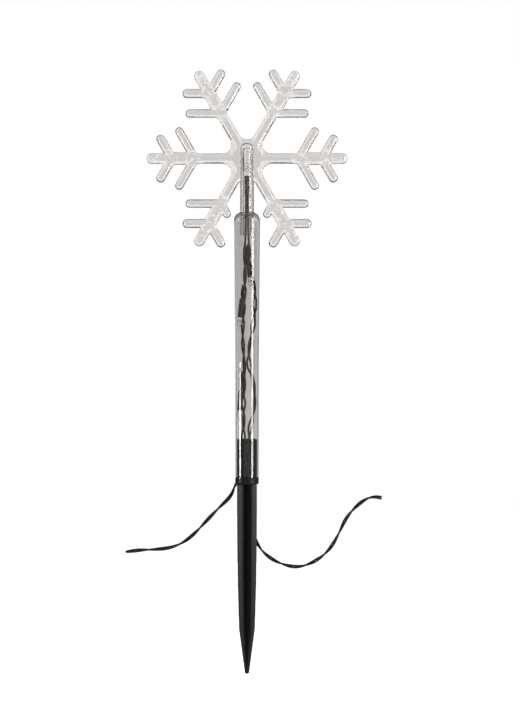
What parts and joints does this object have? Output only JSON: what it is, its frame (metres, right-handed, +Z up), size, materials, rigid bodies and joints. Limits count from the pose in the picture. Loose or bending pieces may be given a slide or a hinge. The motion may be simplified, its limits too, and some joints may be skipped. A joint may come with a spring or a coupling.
{
  "type": "snowflake path light on a ground spike",
  "caption": "Clear snowflake light on a clear tube that holds a string of small lamps, pushed onto a black ground spike, with two leads.",
  "frame": {"origin": "on the stake's axis at the underside of the spike's collar, which is the ground line", "axes": "+Z up along the stake, +Y to the back across the snowflake's thickness, +X to the right across the snowflake"},
  "size_m": [0.2572, 0.0289, 0.6038],
  "materials": {
    "clear_plastic": "clear moulded plastic",
    "black_plastic": "satin",
    "light_epoxy": "clear epoxy",
    "tinned_steel": "tinned",
    "sleeve_plastic": "matte",
    "wire_plastic": "soft satin",
    "copper": "bright"
  },
  "bodies": {
    "spike": {"ground_spike": "black_plastic", "lead_left": "wire_plastic", "lead_left_cores": "copper", "lead_right": "wire_plastic", "lead_right_cores": "copper"},
    "lamp": {"tube": "clear_plastic", "light_1_lens": "light_epoxy", "light_1_legs": "tinned_steel", "light_1_sleeve": "sleeve_plastic", "light_2_lens": "light_epoxy", "light_2_legs": "tinned_steel", "light_2_sleeve": "sleeve_plastic", "light_3_lens": "light_epoxy", "light_3_legs": "tinned_steel", "light_3_sleeve": "sleeve_plastic", "light_4_lens": "light_epoxy", "light_4_legs": "tinned_steel", "light_4_sleeve": "sleeve_plastic", "wires_left": "wire_plastic", "wires_right": "wire_plastic", "wires_neck": "wire_plastic", "light_2_wires": "wire_plastic", "light_3_wires": "wire_plastic", "light_4_wires": "wire_plastic"},
    "head": {"snowflake_head": "clear_plastic"}
  },
  "joints": [
    {"name": "lamp_lift", "type": "slide", "parent": "spike", "child": "lamp", "axis": [0, 0, 1], "range_m": [0, 0.038]},
    {"name": "head_turn", "type": "hinge", "parent": "lamp", "child": "head", "pos_m": [0, 0, 0.272], "axis": [0, 0, 1], "continuous": true}
  ]
}
